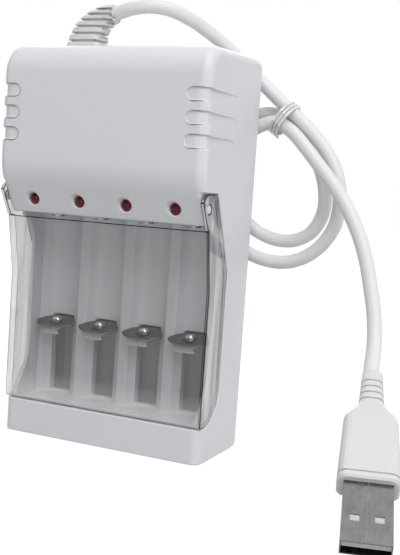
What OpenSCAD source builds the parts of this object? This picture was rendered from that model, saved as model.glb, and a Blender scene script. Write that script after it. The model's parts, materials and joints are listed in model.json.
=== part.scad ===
// Four-bay charger for AA and AAA cells, fed by a captive USB cord.
// It stands upright: +Z is up, the bays and the clear cover face -Y, and the
// origin is under the middle of the casing. All lengths are in millimetres.

/* [Cells and bays] */
// Diameter of the largest cell that a bay takes
cell_d = 14.5; // [14:0.1:15]
// Length of the largest cell that a bay takes
cell_l = 50.5; // [49:0.1:52]
// Distance between neighbouring bays
bay_pitch = 16; // [15.8:0.1:18]
// Play between an outer cell and the bay's side wall
cell_gap = 0.35; // [0.2:0.05:1]
// Play between a cell and the rounded floor of its bay
trough_gap = 0.65; // [0.3:0.05:1]
// Height of the ridge between two bays
ridge_h = 3.2; // [2:0.1:4]
// Thickness of the bay floor behind a trough
floor_t = 1.6; // [1.2:0.1:2.4]
// Space under the lowest place of a sliding contact
foot_room = 7.9; // [7:0.1:12]

/* [Casing] */
// Depth of the casing from the head's front to the rear block
body_d = 43; // [41:0.5:50]
// How far the head stands out over the base
overhang = 10; // [9:0.5:12]
// Height of the strip under the bays
base_h = 10.6; // [10:0.1:16]
// Height of the head above the bays
head_h = 52.6; // [50:0.1:60]
// Drop of the top from back to front
top_fall = 2.2; // [0:0.1:4]
// Wall of the casing
wall = 2; // [1.6:0.1:2.4]
// Side wall between the bays and the recess for the cover
side_wall = 1.3; // [1:0.1:2]
// Radius along the side edges of the head
edge_r = 3; // [2:0.5:4]
// Radius along the head's upper front edge
brow_r = 9; // [6:0.5:11]
// Depth of the rear cover with its block
rear_d = 7; // [6.5:0.5:9]
// How far the rear block stands out from the rear cover
block_out = 1; // [0.5:0.1:2]
// Step from the casing in to the rear cover at the parting line
parting_step = 0.25; // [0.1:0.05:0.5]
// Height of a grip groove
groove_h = 3.6; // [2.5:0.1:4.5]
// Depth of a grip groove at the head's front corner
groove_deep = 0.8; // [0.4:0.1:1.2]
// Distance between grip grooves
groove_pitch = 6.5; // [5.5:0.1:7]

/* [Clear cover] */
// Thickness of the cover's front
cover_t = 1.5; // [1.2:0.1:2]
// Thickness of the cover's side flaps
flap_t = 1.3; // [1:0.1:1.6]
// Gap around the cover
cover_gap = 0.3; // [0.2:0.05:0.5]
// Diameter of the pivot pegs
peg_d = 2.6; // [2.2:0.1:3]
// Running clearance between a peg and its hole
peg_clear = 0.05; // [0.02:0.01:0.1]

/* [Lamps and contacts] */
// Diameter of a lamp lens
led_d = 3.5; // [2.9:0.1:4.4]
// Thickness of the contact sheet metal
sheet_t = 0.6; // [0.4:0.1:0.8]
// Travel of a sliding contact
slider_travel = 18; // [14:0.5:20]
// Width of the slot that a sliding contact runs in
slot_w = 8; // [6:0.5:9]
// Clearance of a sliding contact in its slot and behind the floor
slider_clear = 0.3; // [0.2:0.05:0.5]
// Mean diameter of a contact spring
spring_d = 3.8; // [3:0.1:4.4]
// Wire of a contact spring
spring_wire = 0.5; // [0.3:0.05:0.7]

/* [Cord and plug] */
// Diameter of the cord
cord_d = 4.4; // [3:0.1:5]
// Width of the plug's shell
shell_w = 12; // [11.9:0.1:12.1]
// Thickness of the plug's shell
shell_h = 4.5; // [4.4:0.1:4.6]
// Length of the shell outside its moulding
shell_l = 18.5; // [12:0.5:19]
// Width of the plug's moulding at its mouth
grip_w = 15.4; // [14.5:0.1:16]
// Thickness of the plug's moulding
grip_h = 8; // [7.5:0.1:9]
// Length of the plug's moulding
grip_l = 21.5; // [18:0.5:26]

/* [Hidden] */
$fn = 48;

// Length that a cut runs past the face it opens
past = 30;

// Places across the casing
bays = 4;
bay_x = [for (i = [0 : bays - 1]) (i - (bays - 1) / 2) * bay_pitch];
recess = flap_t + cover_gap;
bay_half = (bays - 1) / 2 * bay_pitch + cell_d / 2 + cell_gap;
lip_half = bay_half + side_wall;
body_w = 2 * (lip_half + recess);

// Places from front to back
head_y = -body_d / 2;
base_y = head_y + overhang;
block_y = body_d / 2;
back_y = block_y - block_out;
part_y = block_y - rear_d;
cell_y = base_y + cover_t + 0.2 + cell_d / 2;
trough_r = cell_d / 2 + trough_gap;
ridge_y = cell_y + trough_r - ridge_h;
floor_y = cell_y + trough_r + floor_t;

// Places from the foot up
slider_low = base_h + foot_room;
slider_z = slider_low + slider_travel;
contact_z = slider_low + 0.4 + cell_l;
bay_top = contact_z + 1;
body_h = bay_top + head_h;
ceiling_z = bay_top + floor_t;

// Head: the lamp panel leans out from its lower edge to the head's front
panel_out = 3.3;
panel_z = bay_top;
panel_rise = 12;
panel_lean = (overhang - panel_out) / panel_rise;
led_z = panel_z + 4.3;
led_y = base_y - panel_out - (led_z - panel_z) * panel_lean;
led_in = 0.4;
led_gap = 0.1;
sink_deep = 0.8;
sink_out = 0.8;
brow_z = body_h - top_fall;
heel_r = edge_r + 1;
side_profile = [
    [base_y, -past, 0], [base_y, panel_z - panel_out / panel_lean, edge_r],
    [head_y, panel_z + panel_rise, 16], [head_y, brow_z, brow_r],
    [back_y, body_h, heel_r], [back_y, -past, 0]
];
groove_z = brow_z - 14;
groove_in = 3.3;
groove_ends = [22, 20.7, 19.4];
groove_fade = atan(groove_deep / groove_ends[0]);
room_top = brow_z - wall - 0.4;
head_room = [
    [base_y - panel_out + 2.6, ceiling_z, 0], [head_y + wall, ceiling_z + 11.6, 0],
    [head_y + wall, room_top, brow_r - wall], [part_y + 1, room_top, 0], [part_y + 1, ceiling_z, 0]
];

// Cover: its flaps lie in recesses of the casing's sides
pivot_y = base_y - 4;
pivot_z = panel_z + 4.8;
arm_r = 4.4;
arm_out = 0.3;
flap_d = 12.9;
flap_knee = bay_top - 14.5;
flap_tip = 1.6;
recess_top = pivot_z + arm_r + cover_gap + 0.1;
recess_outline = [
    [base_y - past, base_h, 0], [base_y + flap_d, base_h, 11], [base_y + flap_d, flap_knee, 3],
    [base_y + flap_tip, recess_top, 0.6], [base_y - past, recess_top, 0]
];
cover_low = base_h + cover_gap;
cover_top = panel_z - 1.4;
cover_bend = bay_top - 19.2;
flap_outline = [
    [base_y, cover_low, 0.8], [base_y + flap_d - cover_gap, cover_low, 11 - cover_gap],
    [base_y + flap_d - cover_gap, flap_knee - 0.1, 3], [base_y + flap_tip - 0.4, pivot_z + arm_r, 2.5],
    [pivot_y - arm_r, pivot_z + arm_r, arm_r], [pivot_y - arm_r, cover_top + 3, 1],
    [base_y - panel_out, cover_top, 0], [base_y, cover_bend, 8]
];
notch_outline = [
    [base_y - past, base_h, 0], [base_y + 0.5, base_h, 0], [base_y + 8.4, base_h + 13.5, 12],
    [base_y + 8, bay_top - 0.8, 9], [base_y - past, bay_top - 0.8, 0]
];

// Sliding contacts: a sheet strip bent through the slot, seen from the side
tail_y = floor_y + slider_clear + sheet_t / 2;
tail_l = 6;
tail_w = slot_w + 2;
lip_y = cell_y - 0.9;
slider_bend = [
    [tail_y, slider_z + tail_l], [tail_y, slider_z - sheet_t / 2],
    [cell_y + 6.8, slider_z - sheet_t / 2], [lip_y, slider_z - 2.6], [lip_y - 0.7, slider_z - 3.6],
    [lip_y - 0.4, slider_z - 5]
];
slot_low = base_h + 1;
slot_top = slider_z + slider_clear;
tab_w = 3;
tab_h = 2.3;
guide_w = 1.2;
guide_d = 2.5;
guide_low = slider_low - 2;
guide_top = slider_z + tail_l + 1;
bus_t = 0.8;
spring_y = floor_y + bus_t + slider_clear + (spring_d + spring_wire) / 2;
spring_low = slider_z + tail_l + tab_h + slider_clear + spring_wire / 2;
bus_h = 5;
hook_r = 0.8;
hook_z = bay_top - 4.9;
spring_high = hook_z - hook_r - slider_clear - spring_wire / 2;
spring_turns = 10;

// Circuit board in the head, upright behind the lamps
board_y = base_y + 4.5;
board_t = 1.6;
board_back = board_y + board_t;
board_half = bay_half - 3.6;
board_top = room_top - 6;
board_screw_x = board_half - 4;
board_screw_z = board_top - 4.5;
board_screw_r = 1.1;
board_screw_l = 6;
transistor_up = 16;
transistor_in = 4.8;
resistor_up = 23;

// Screws that hold the rear cover
boss_r = 2.8;
screw_x = bay_half - 4.1;
screw_z = [wall + boss_r - 0.4, body_h - 12];
boss_l = 12;
screw_r = 1.3;
screw_head_r = 2.6;
screw_head_h = 2;
well_r = screw_head_r + 0.4;
seat_y = part_y + 2.4;
block_z = [body_h - 19.2, body_h - 3.5];
block_r = 1.8;

// Strain relief: a boot that bends over towards +X, with level slits on its outer side and, between
// them, slits on its inner side
boot_low = body_h - 0.4;
boot_path = [[-20.5, 4, boot_low], [-20.5, 4, boot_low + 9.4], [-11, 4, boot_low + 11.6]];
boot_w = [13, 5.6];
boot_d = [8.8, 6];
boot_r = 2.2;
boot_steps = 12;
neck_gap = 0.2;
neck_in = 1;
slits = 6;
slit_t = 0.7;
slit_deep = 1;
slit_first = 2.2;
slit_pitch = 2.5;
slit_closer = 0.1;
slit_end = 5;
slit_over = 0.6;
core_more = 0.06;

// Route of the cord, from the boot over the top, twice round behind the casing and down to the plug
cord_route = [
    [-11, 4, 134.2], [-5, 4.2, 135.8], [0.5, 6, 136.6], [5.5, 9.5, 136.2], [10, 14.5, 134.3],
    [14, 19.5, 131.5], [18.5, 23.5, 127.8], [23.5, 26.2, 123], [29, 27.4, 118], [34.8, 28, 113],
    [40.5, 28.4, 108.2], [46, 28.6, 103.6], [51, 28.6, 98.8], [55.5, 28.4, 93.2], [58.5, 28.2, 86.6],
    [59.5, 28, 79.5], [58.5, 28, 72.5], [55, 28, 66.4], [49.5, 28, 61.8], [43, 28, 59.6],
    [36, 28, 59.8], [29, 28, 62], [22.5, 28.5, 66.2], [17.8, 29.2, 72.3], [15.3, 29.8, 79.4],
    [14.9, 30.4, 87], [16.4, 31, 94.2], [20.3, 31.6, 100.6], [26, 31.7, 105.4], [32.5, 31.9, 107.2],
    [39, 32, 105.6], [44, 32.1, 101], [48, 32.2, 95.4], [51.4, 32.2, 89.4], [53.2, 32.3, 83],
    [53.1, 32.4, 76.2], [50.1, 32.4, 70.2], [44.8, 32.3, 66.9], [38.5, 32, 66.4], [32.2, 31.2, 68.4],
    [26.9, 30, 72.4], [23.4, 28.6, 78.3], [22, 27.3, 85.2], [22.8, 26.4, 92], [25.9, 26.2, 98],
    [30.8, 26.8, 102.3], [36.9, 27, 103.9], [42.7, 25.7, 101.2], [48, 24.4, 96.4], [53, 23.4, 91.2],
    [58, 22.2, 86], [62.5, 20.9, 80.7], [66.5, 19.5, 74.8], [70, 18, 68.5], [72.8, 16.2, 61.8],
    [75, 14.2, 55.2], [76.9, 12.2, 49], [78.3, 9.6, 43.2], [79.3, 6.3, 38.3], [80, 2.3, 34.5],
    [81.3, -2.6, 31.6]
];
tie_at = [39, 28.8, 105.2];
tie_lean = 126;
tie_r = 5.8;
tie_wire = 1;
tie_turns = 3;

// Plug: drawn with its tip at the origin, pointing to -Y, then leaned on the floor
plug_tilt = 30;
plug_turn = 15;
shell_wall = 0.3;
tongue_t = 1.9;
lip_l = 2.2;
grip_taper = 0.6;
grip_r = 2.2;
neck_l = 7.4;
collar_l = 12.4;
collar_w = [7, 5.8];
collar_grooves = 4;
collar_step = 2.5;
groove_w = 0.6;
groove_cut = 0.4;
plug_l = shell_l + grip_l + neck_l + collar_l;
plug_at = [95, -52.6, shell_h / 2 * cos(plug_tilt) + 0.05];

// Direction of unit length
function unit(v) = v / norm(v);

// Points of the arc of radius r that rounds the corner b between a and c
function corner_arc(a, b, c, r, steps) =
    let (
        u = unit(a - b), v = unit(c - b), half = acos(u * v) / 2,
        centre = b + unit(u + v) * r / sin(half),
        p = b + u * r / tan(half) - centre, q = b + v * r / tan(half) - centre,
        start = atan2(p.y, p.x), turn = (atan2(q.y, q.x) - start + 540) % 360 - 180
    )
    [for (i = [0 : steps]) centre + r * [cos(start + turn * i / steps), sin(start + turn * i / steps)]];

// Outline through corners that are each given as [x, y, radius]
function rounded(corners, steps = 8) =
    let (n = len(corners))
    [for (i = [0 : n - 1])
        let (a = corners[(i + n - 1) % n], b = corners[i], c = corners[(i + 1) % n])
        each b[2] == 0 ? [[b.x, b.y]] : corner_arc([a.x, a.y], [b.x, b.y], [c.x, c.y], b[2], steps)];

// Both edges of a strip of thickness t that follows a bent line
function strip(line, t) =
    let (
        n = len(line),
        along = [for (i = [0 : n - 2]) unit(line[i + 1] - line[i])],
        side = [for (d = along) [-d.y, d.x]],
        miter = [for (i = [0 : n - 1])
            let (a = side[max(i - 1, 0)], b = side[min(i, n - 2)]) (a + b) / (1 + a * b)]
    )
    concat(
        [for (i = [0 : n - 1]) line[i] + miter[i] * t / 2],
        [for (i = [n - 1 : -1 : 0]) line[i] - miter[i] * t / 2]
    );

// Outline, run clockwise, moved inwards by depth
function inside(outline, depth) =
    let (
        n = len(outline),
        side = [for (i = [0 : n - 1]) let (d = unit(outline[(i + 1) % n] - outline[i])) [d.y, -d.x]]
    )
    [for (i = [0 : n - 1])
        let (a = side[(i + n - 1) % n], b = side[i]) outline[i] + (a + b) / (1 + a * b) * depth];

// Point at share s of the curve that three points guide
function bend(p, s) = (1 - s) * (1 - s) * p[0] + 2 * s * (1 - s) * p[1] + s * s * p[2];

// Angle from +Z towards +X of that curve at share s
function bend_lean(p, s) =
    let (d = (1 - s) * (p[1] - p[0]) + s * (p[2] - p[1])) atan2(d.x, d.z);

// Round tube through a list of points; no stretch of it runs along ref
module tube(points, d, sides, ref) {
    n = len(points);
    along = [for (i = [0 : n - 1]) unit(points[min(i + 1, n - 1)] - points[max(i - 1, 0)])];
    loft([for (i = [0 : n - 1])
        let (u = unit(cross(along[i], ref)), v = cross(u, along[i]))
        [for (j = [0 : sides - 1])
            points[i] + d / 2 * (cos(360 * j / sides) * u + sin(360 * j / sides) * v)]]);
}

// Closed body through rings that have the same number of points
module loft(rings) {
    n = len(rings[0]);
    last = len(rings) - 1;
    skin = [for (i = [0 : last - 1]) for (j = [0 : n - 1])
        let (a = i * n + j, b = i * n + (j + 1) % n)
        each [[a, b, b + n], [a, b + n, a + n]]];
    ends = [[for (j = [n - 1 : -1 : 0]) j], [for (j = [0 : n - 1]) last * n + j]];
    polyhedron([for (ring = rings) each ring], concat(skin, ends));
}

// Carries an outline drawn in Y and Z across the casing
module across(width) {
    rotate([90, 0, 90]) translate([0, 0, -width / 2]) linear_extrude(width) children();
}

// Body with the given side outline whose two side edges are rounded by r, cut flat at both sides
module soft_prism(outline, width, r, inset = 0) {
    half = width / 2 - inset;
    function ring(x, depth) = [for (p = inside(outline, depth)) [x, p.x, p.y]];
    function soft(side, t) = ring(side * (half - r * (1 - sin(t))), inset + r * (1 - cos(t)));
    intersection() {
        loft(concat(
            [ring(-half - 1, inset + r)], [for (t = [90 : -30 : 0]) soft(-1, t)],
            [for (t = [0 : 30 : 90]) soft(1, t)], [ring(half + 1, inset + r)]
        ));
        block([-half, -2 * body_d, -body_h], [half, 2 * body_d, 2 * body_h]);
    }
}

// Rod along Y from y0 to y1
module rod_y(x, z, r, y0, y1) {
    translate([x, y0, z]) rotate([-90, 0, 0]) cylinder(h = y1 - y0, r = r);
}

// Rod along X from x0 to x1
module rod_x(y, z, r, x0, x1) {
    translate([x0, y, z]) rotate([0, 90, 0]) cylinder(h = x1 - x0, r = r);
}

// Block between two corners
module block(low, high) {
    translate(low) cube(high - low);
}

// Rectangle with round corners, centred
module round_rect(w, h, r) {
    square([w - 2 * r, h], center = true);
    square([w, h - 2 * r], center = true);
    for (x = [-1, 1], y = [-1, 1]) translate([x * (w / 2 - r), y * (h / 2 - r)]) circle(r);
}

// Outer form of the casing, front and back together
module casing(inset = 0) {
    soft_prism(rounded(side_profile), body_w, edge_r - inset, inset);
}

// Grip grooves that wrap round the head's front corners and fade out along its sides
module grip_grooves() {
    for (side = [-1, 1])
        difference() {
            for (i = [0 : 2]) {
                z = groove_z - i * groove_pitch;
                x = side * (body_w / 2 - groove_in - groove_h / 2);
                out = side * (body_w / 2 + past);
                end_y = head_y + groove_ends[i] - groove_h / 2;
                rod_y(x, z, groove_h / 2, head_y - past, head_y + edge_r);
                block(
                    [min(x, out), head_y - past, z - groove_h / 2], [max(x, out), end_y, z + groove_h / 2]
                );
                rod_x(end_y, z, groove_h / 2, min(0, out), max(0, out));
            }
            translate([side * body_w / 2, head_y + groove_ends[0], 0])
                rotate([0, 0, -side * groove_fade])
                    translate([-side * body_w / 2, -head_y - groove_ends[0], 0]) casing();
        }
}

// Bays, with their rounded floors, the slots for the sliding contacts and the cover's own room
module bay_cuts() {
    block([-bay_half, base_y - past, base_h], [bay_half, ridge_y, bay_top]);
    block([-body_w, base_y - past, base_h], [body_w, base_y + cover_t + cover_gap, bay_top]);
    for (x = bay_x) {
        translate([x, cell_y, base_h]) cylinder(h = bay_top - base_h, r = trough_r);
        block([x - slot_w / 2, ridge_y, slot_low], [x + slot_w / 2, floor_y + 1, slot_top]);
    }
    for (side = [-1, 1]) {
        translate([side * (lip_half + past / 2), 0, 0]) across(past) polygon(rounded(recess_outline));
        translate([side * (bay_half + 1), 0, 0]) across(4) polygon(rounded(notch_outline));
    }
}

// Hollow of the casing behind the bays, under them and in the head
module inner_room() {
    across(2 * bay_half) polygon(rounded(head_room));
    block([-bay_half, floor_y, wall], [bay_half, part_y + 1, ceiling_z + 1]);
    block([-bay_half, base_y + wall, wall], [bay_half, part_y + 1, base_h - floor_t]);
}

// Posts inside the front housing: screw bosses, board posts and guides beside the sliding contacts
module housing_posts() {
    for (side = [-1, 1]) {
        x = side * screw_x;
        wall_x = side * (bay_half + wall / 2);
        rod_y(x, screw_z[0], boss_r, base_y + wall / 2, part_y);
        rod_y(x, screw_z[1], boss_r, part_y - boss_l, part_y);
        block(
            [min(x, wall_x), part_y - boss_l, screw_z[1] - guide_w / 2],
            [max(x, wall_x), part_y, screw_z[1] + guide_w / 2]
        );
    }
    for (x = [-board_screw_x, board_screw_x])
        rod_y(x, board_screw_z, boss_r, head_y + wall / 2, board_y);
    for (x = bay_x, side = [-1, 1])
        translate([x + side * (tail_w / 2 + slider_clear + guide_w / 2), floor_y - 0.5, guide_low])
            translate([-guide_w / 2, 0, 0]) cube([guide_w, guide_d + 0.5, guide_top - guide_low]);
}

// Front half of the casing: head, lamp panel, bays, base and sides
module front_housing() {
    color("whitesmoke") {
        difference() {
            union() {
                difference() {
                    intersection() {
                        casing();
                        block([-body_w, head_y - 1, 0], [body_w, part_y, body_h + 1]);
                    }
                    inner_room();
                }
                housing_posts();
            }
            bay_cuts();
            grip_grooves();
            for (x = bay_x) {
                rod_y(x, led_z, led_d / 2 + led_gap, led_y - past, base_y + 1);
                translate([x, led_y, led_z]) rotate([90 + atan(panel_lean), 0, 0])
                    translate([0, 0, -sink_deep])
                        cylinder(h = 2 * sink_deep, r1 = led_d / 2, r2 = led_d / 2 + 2 * sink_out);
                block([x - 3.2, board_back - 0.15, bay_top - 1], [x + 3.2, board_back + 0.75, ceiling_z + 1]);
            }
            for (x = [-screw_x, screw_x], z = screw_z)
                rod_y(x, z, screw_r + 0.05, part_y - 9, part_y + 1);
            for (x = [-board_screw_x, board_screw_x])
                rod_y(x, board_screw_z, board_screw_r + 0.05, board_y - board_screw_l - 1, board_y + 1);
            boot_neck(room_top - 1, body_h + 1, neck_gap);
        }
        for (side = [-1, 1])
            rod_x(pivot_y, pivot_z, peg_d / 2,
                min(side * (lip_half - 0.5), side * (body_w / 2 - 0.1)),
                max(side * (lip_half - 0.5), side * (body_w / 2 - 0.1)));
    }
}

// Rear half of the casing, with the raised block behind the head and four screw wells
module rear_cover() {
    color("whitesmoke")
        difference() {
            union() {
                difference() {
                    intersection() {
                        casing(parting_step);
                        block([-body_w, part_y, 0], [body_w, block_y, body_h + 1]);
                    }
                    block([-bay_half, part_y - 1, wall + 0.5], [bay_half, back_y - wall, body_h - 4.5]);
                }
                intersection() {
                    soft_prism(
                        rounded([
                            [part_y, block_z[0], block_r], [part_y, block_z[1], block_r],
                            [block_y, block_z[1] - 2, block_r], [block_y, block_z[0] + 1.5, block_r]
                        ], 3),
                        body_w - 2.4, block_r - 0.5);
                    block([-body_w, back_y - wall, 0], [body_w, block_y, body_h]);
                }
                for (x = [-screw_x, screw_x], z = screw_z)
                    rod_y(x, z, well_r + 1.2, part_y, back_y - 0.5);
            }
            for (x = [-screw_x, screw_x], z = screw_z) {
                rod_y(x, z, well_r, seat_y, block_y + 1);
                rod_y(x, z, screw_r + 0.3, part_y - 1, seat_y + 1);
            }
            difference() {
                block([-body_w, back_y - heel_r, -1], [body_w, back_y + 1, heel_r]);
                rod_x(back_y - heel_r, heel_r, heel_r, -2 * body_w, 2 * body_w);
            }
        }
}

// Screws from behind, with a cross slot in each head
module case_screws() {
    color("silver")
        for (x = [-screw_x, screw_x], z = screw_z)
            difference() {
                union() {
                    rod_y(x, z, screw_head_r, seat_y, seat_y + screw_head_h);
                    rod_y(x, z, screw_r, part_y - 8, seat_y);
                }
                for (w = [[3, 0.8], [0.8, 3]])
                    block([x - w.x / 2, seat_y + 1, z - w.y / 2], [x + w.x / 2, seat_y + 3, z + w.y / 2]);
            }
}

// Clear cover: one moulding with a bent front and two flaps that turn on the pegs
module clear_cover() {
    color([0.85, 0.9, 0.95, 0.4])
        difference() {
            intersection() {
                across(body_w - 0.2) polygon(rounded(flap_outline));
                across(body_w) polygon([
                    [base_y - panel_out - arm_out, 0], [base_y - panel_out - arm_out, cover_top],
                    [base_y - panel_out - arm_out - panel_rise * panel_lean, cover_top + panel_rise],
                    [base_y + past, cover_top + panel_rise], [base_y + past, 0]
                ]);
            }
            across(2 * (lip_half + cover_gap)) polygon([
                [base_y + cover_t, 0], [base_y + cover_t, cover_bend],
                [base_y - panel_out + cover_t, cover_top], [base_y - past, cover_top],
                [base_y - past, body_h], [base_y + past, body_h], [base_y + past, 0]
            ]);
            rod_x(pivot_y, pivot_z, peg_d / 2 + peg_clear, -body_w, body_w);
        }
}

// Indicator lamp with its flange and two leads
module led(i) {
    color("darkred") {
        tip_y = led_y + led_in;
        flange_y = base_y - 0.6;
        rod_y(bay_x[i], led_z, led_d / 2, tip_y + led_d / 2, flange_y + 0.5);
        intersection() {
            translate([bay_x[i], tip_y + led_d / 2, led_z]) sphere(d = led_d);
            rod_y(bay_x[i], led_z, led_d, tip_y - 1, tip_y + led_d / 2);
        }
        rod_y(bay_x[i], led_z, led_d / 2 + 0.4, flange_y, flange_y + 1);
        for (dx = [-1.27, 1.27])
            rod_y(bay_x[i] + dx, led_z, 0.25, flange_y + 0.5, board_y);
    }
}

// Sliding negative contact: plate with a dimple and a curled lip, a stem through the slot and a tail behind
module slider_contact(i) {
    color("silver")
        translate([bay_x[i], 0, 0]) {
            intersection() {
                across(2 * trough_r) polygon(strip(slider_bend, sheet_t));
                linear_extrude(body_h) {
                    intersection() {
                        translate([0, cell_y]) circle(trough_r - 0.6);
                        translate([0, cell_y + 7.2]) circle(9);
                    }
                    translate([-slot_w / 2 + slider_clear, cell_y])
                        square([slot_w - 2 * slider_clear, trough_r + 4]);
                    translate([-tail_w / 2, floor_y + slider_clear / 2]) square([tail_w, 4]);
                }
            }
            intersection() {
                translate([0, cell_y + 3.2, slider_z - 3.1]) sphere(r = 3.2);
                block([-4, lip_y, slider_z - 1.6], [4, cell_y + 7, slider_z + 2]);
            }
            block(
                [-tab_w / 2, tail_y - sheet_t / 2, slider_z],
                [tab_w / 2, tail_y + sheet_t / 2, slider_z + tail_l + tab_h]
            );
        }
}

// Extension spring that draws a sliding contact up
module slider_spring(i) {
    steps = 8 * spring_turns;
    color("lightgray")
        translate([bay_x[i], spring_y, 0])
            tube(
                [for (k = [0 : steps])
                    [spring_d / 2 * cos(45 * k), spring_d / 2 * sin(45 * k),
                        spring_low + (spring_high - spring_low) * k / steps]],
                spring_wire, 5, [0, 0, 1]);
}

// Fixed positive contact under the bay's ceiling, with a tab up to the board
module positive_contact(i) {
    color("silver")
        translate([bay_x[i], 0, 0]) {
            across(6) polygon(strip([
                [board_back + sheet_t / 2, ceiling_z + 7], [board_back + sheet_t / 2, bay_top - sheet_t / 2],
                [cell_y + 4, bay_top - sheet_t / 2]
            ], sheet_t));
            translate([0, cell_y, contact_z]) cylinder(h = bay_top - sheet_t - contact_z, r = 2.2);
        }
}

// Bar behind the floor that the four springs hook on, the common negative pole
module negative_bus() {
    color("goldenrod") {
        block(
            [-bay_half + 2, floor_y, hook_z - bus_h / 2],
            [bay_half - 2, floor_y + bus_t, hook_z + bus_h / 2]
        );
        for (x = bay_x)
            rod_y(x, hook_z, hook_r, floor_y + bus_t, spring_y + spring_d / 2 + 1);
    }
}

// Circuit board, with a hole for each of its two screws
module circuit_board() {
    color("darkgreen")
        difference() {
            block([-board_half, board_y, ceiling_z + 0.3], [board_half, board_back, board_top]);
            for (x = [-board_screw_x, board_screw_x])
                rod_y(x, board_screw_z, board_screw_r + 0.3, board_y - 1, board_back + 1);
        }
}

// Two screws that hold the board on its posts
module board_screws() {
    color("silver")
        for (x = [-board_screw_x, board_screw_x]) {
            rod_y(x, board_screw_z, board_screw_r, board_y - board_screw_l, board_back);
            rod_y(x, board_screw_z, 2 * board_screw_r, board_back, board_back + 1.4);
        }
}

// Charge controller in a flat package with a row of legs on each long side
module controller_chip() {
    chip_w = 10;
    chip_h = 6;
    leg_pitch = 1.27;
    leg_w = 0.4;
    leg_z = chip_h / 2 + 1.2;
    color("dimgray")
        translate([0, board_back, board_top - 12]) {
            block([-chip_w / 2, 0.2, -chip_h / 2], [chip_w / 2, 1.9, chip_h / 2]);
            for (i = [-3.5 : 1 : 3.5])
                block([i * leg_pitch - leg_w / 2, 0, -leg_z], [i * leg_pitch + leg_w / 2, leg_w, leg_z]);
        }
}

// One flat-fronted transistor for each bay, each on three legs
module charge_transistors() {
    color("black")
        for (x = bay_x)
            translate([x - sign(x) * transistor_in, board_back, ceiling_z + transistor_up]) {
                rotate([-90, 0, 0]) translate([0, 0, 2])
                    linear_extrude(4.6) difference() {
                        circle(2.3);
                        translate([-3, 1.3]) square([6, 3]);
                    }
                for (dx = [-1.27, 0, 1.27])
                    rod_y(dx, 0, 0.25, 0, 2.5);
            }
}

// Four wire-ended resistors above the transistors
module charge_resistors() {
    color("tan")
        for (x = bay_x)
            translate([x, board_back, ceiling_z + resistor_up]) {
                rod_x(1.6, 0, 1.2, -3.2, 3.2);
                rod_x(1.6, 0, 0.3, -4.6, 4.6);
                for (dx = [-4.3, 4.3])
                    rod_y(dx, 0, 0.3, 0, 1.9);
            }
}

// Smoothing capacitor, standing on the board
module filter_capacitor() {
    color("midnightblue")
        rod_y(16, board_top - 12, 3.15, board_back, board_back + 11);
}

// Two wires from the cord's end inside the casing to the board
module power_leads() {
    wire_r = 0.7;
    top_z = room_top - 1.5;
    color("firebrick")
        for (dx = [-1.4, 1.4])
            translate([boot_path[0].x + dx, boot_path[0].y, 0]) {
                translate([0, 0, board_top - 14]) cylinder(h = top_z - board_top + 14, r = wire_r);
                translate([0, 0, board_top - 14]) sphere(r = wire_r);
                rod_y(0, board_top - 14, wire_r, board_back - boot_path[0].y, 0);
            }
}

// Neck of the boot, which fills the hole in the head's top
module boot_neck(low, high, gap = 0) {
    translate([boot_path[0].x, boot_path[0].y, low]) linear_extrude(high - low)
        round_rect(boot_w[0] - 2 * neck_in + 2 * gap, boot_d[0] - 2 * neck_in + 2 * gap, boot_r);
}

// Bent body of the boot, smaller all round by inset and longer by the share more at both ends
module boot_body(inset, more) {
    function half(ends, s) = (ends[0] + (ends[1] - ends[0]) * s) / 2 - inset;
    loft([for (i = [0 : boot_steps])
        let (
            s = (1 + 2 * more) * i / boot_steps - more,
            at = bend(boot_path, s), lean = bend_lean(boot_path, s),
            w = half(boot_w, s), d = half(boot_d, s), r = min(boot_r, 0.8 * min(w, d))
        )
        [for (p = rounded([[w, d, r], [w, -d, r], [-w, -d, r], [-w, d, r]], 3))
            at + [p.x * cos(lean), p.y, -p.x * sin(lean)]]]);
}

// Slit boot that the cord leaves the head through, held by a flange under the head's top
module strain_relief() {
    flange_t = 1.5;
    color("white") {
        difference() {
            boot_body(0, 0);
            difference() {
                for (k = [0 : slits - 1]) {
                    up = slit_first + k * (slit_pitch - slit_closer * k);
                    z = boot_low + up;
                    x = boot_path[0].x + up / 2 + slit_end;
                    between = z + slit_pitch / 2;
                    block([x - past, -past, z], [x, past, z + slit_t]);
                    block([x - slit_over, -past, between], [x + past, past, between + slit_t]);
                }
                boot_body(slit_deep, core_more);
            }
        }
        boot_neck(room_top - flange_t, boot_low + 1);
        translate([boot_path[0].x, boot_path[0].y, room_top - flange_t])
            linear_extrude(flange_t) round_rect(boot_w[0] + 2, boot_d[0] + 2, boot_r);
    }
}

// Cord along its whole route
module cord() {
    color("white") tube(cord_route, cord_d, 8, [0, 1, 0]);
}

// Wire tie that holds the three runs of the cord together
module twist_tie() {
    steps = 10 * tie_turns;
    tie_l = 1.15 * tie_turns * tie_wire;
    color("white")
        translate(tie_at) rotate([0, tie_lean, 0])
            tube(
                [for (k = [0 : steps])
                    [tie_r * cos(36 * k), tie_r * sin(36 * k), (k / steps - 0.5) * tie_l]],
                tie_wire, 6, [0, 0, 1]);
}

// Carries the plug from its own frame to where it leans on the floor
module placed_plug() {
    translate(plug_at) rotate([0, 0, plug_turn]) rotate([plug_tilt, 0, 0]) children();
}

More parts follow.
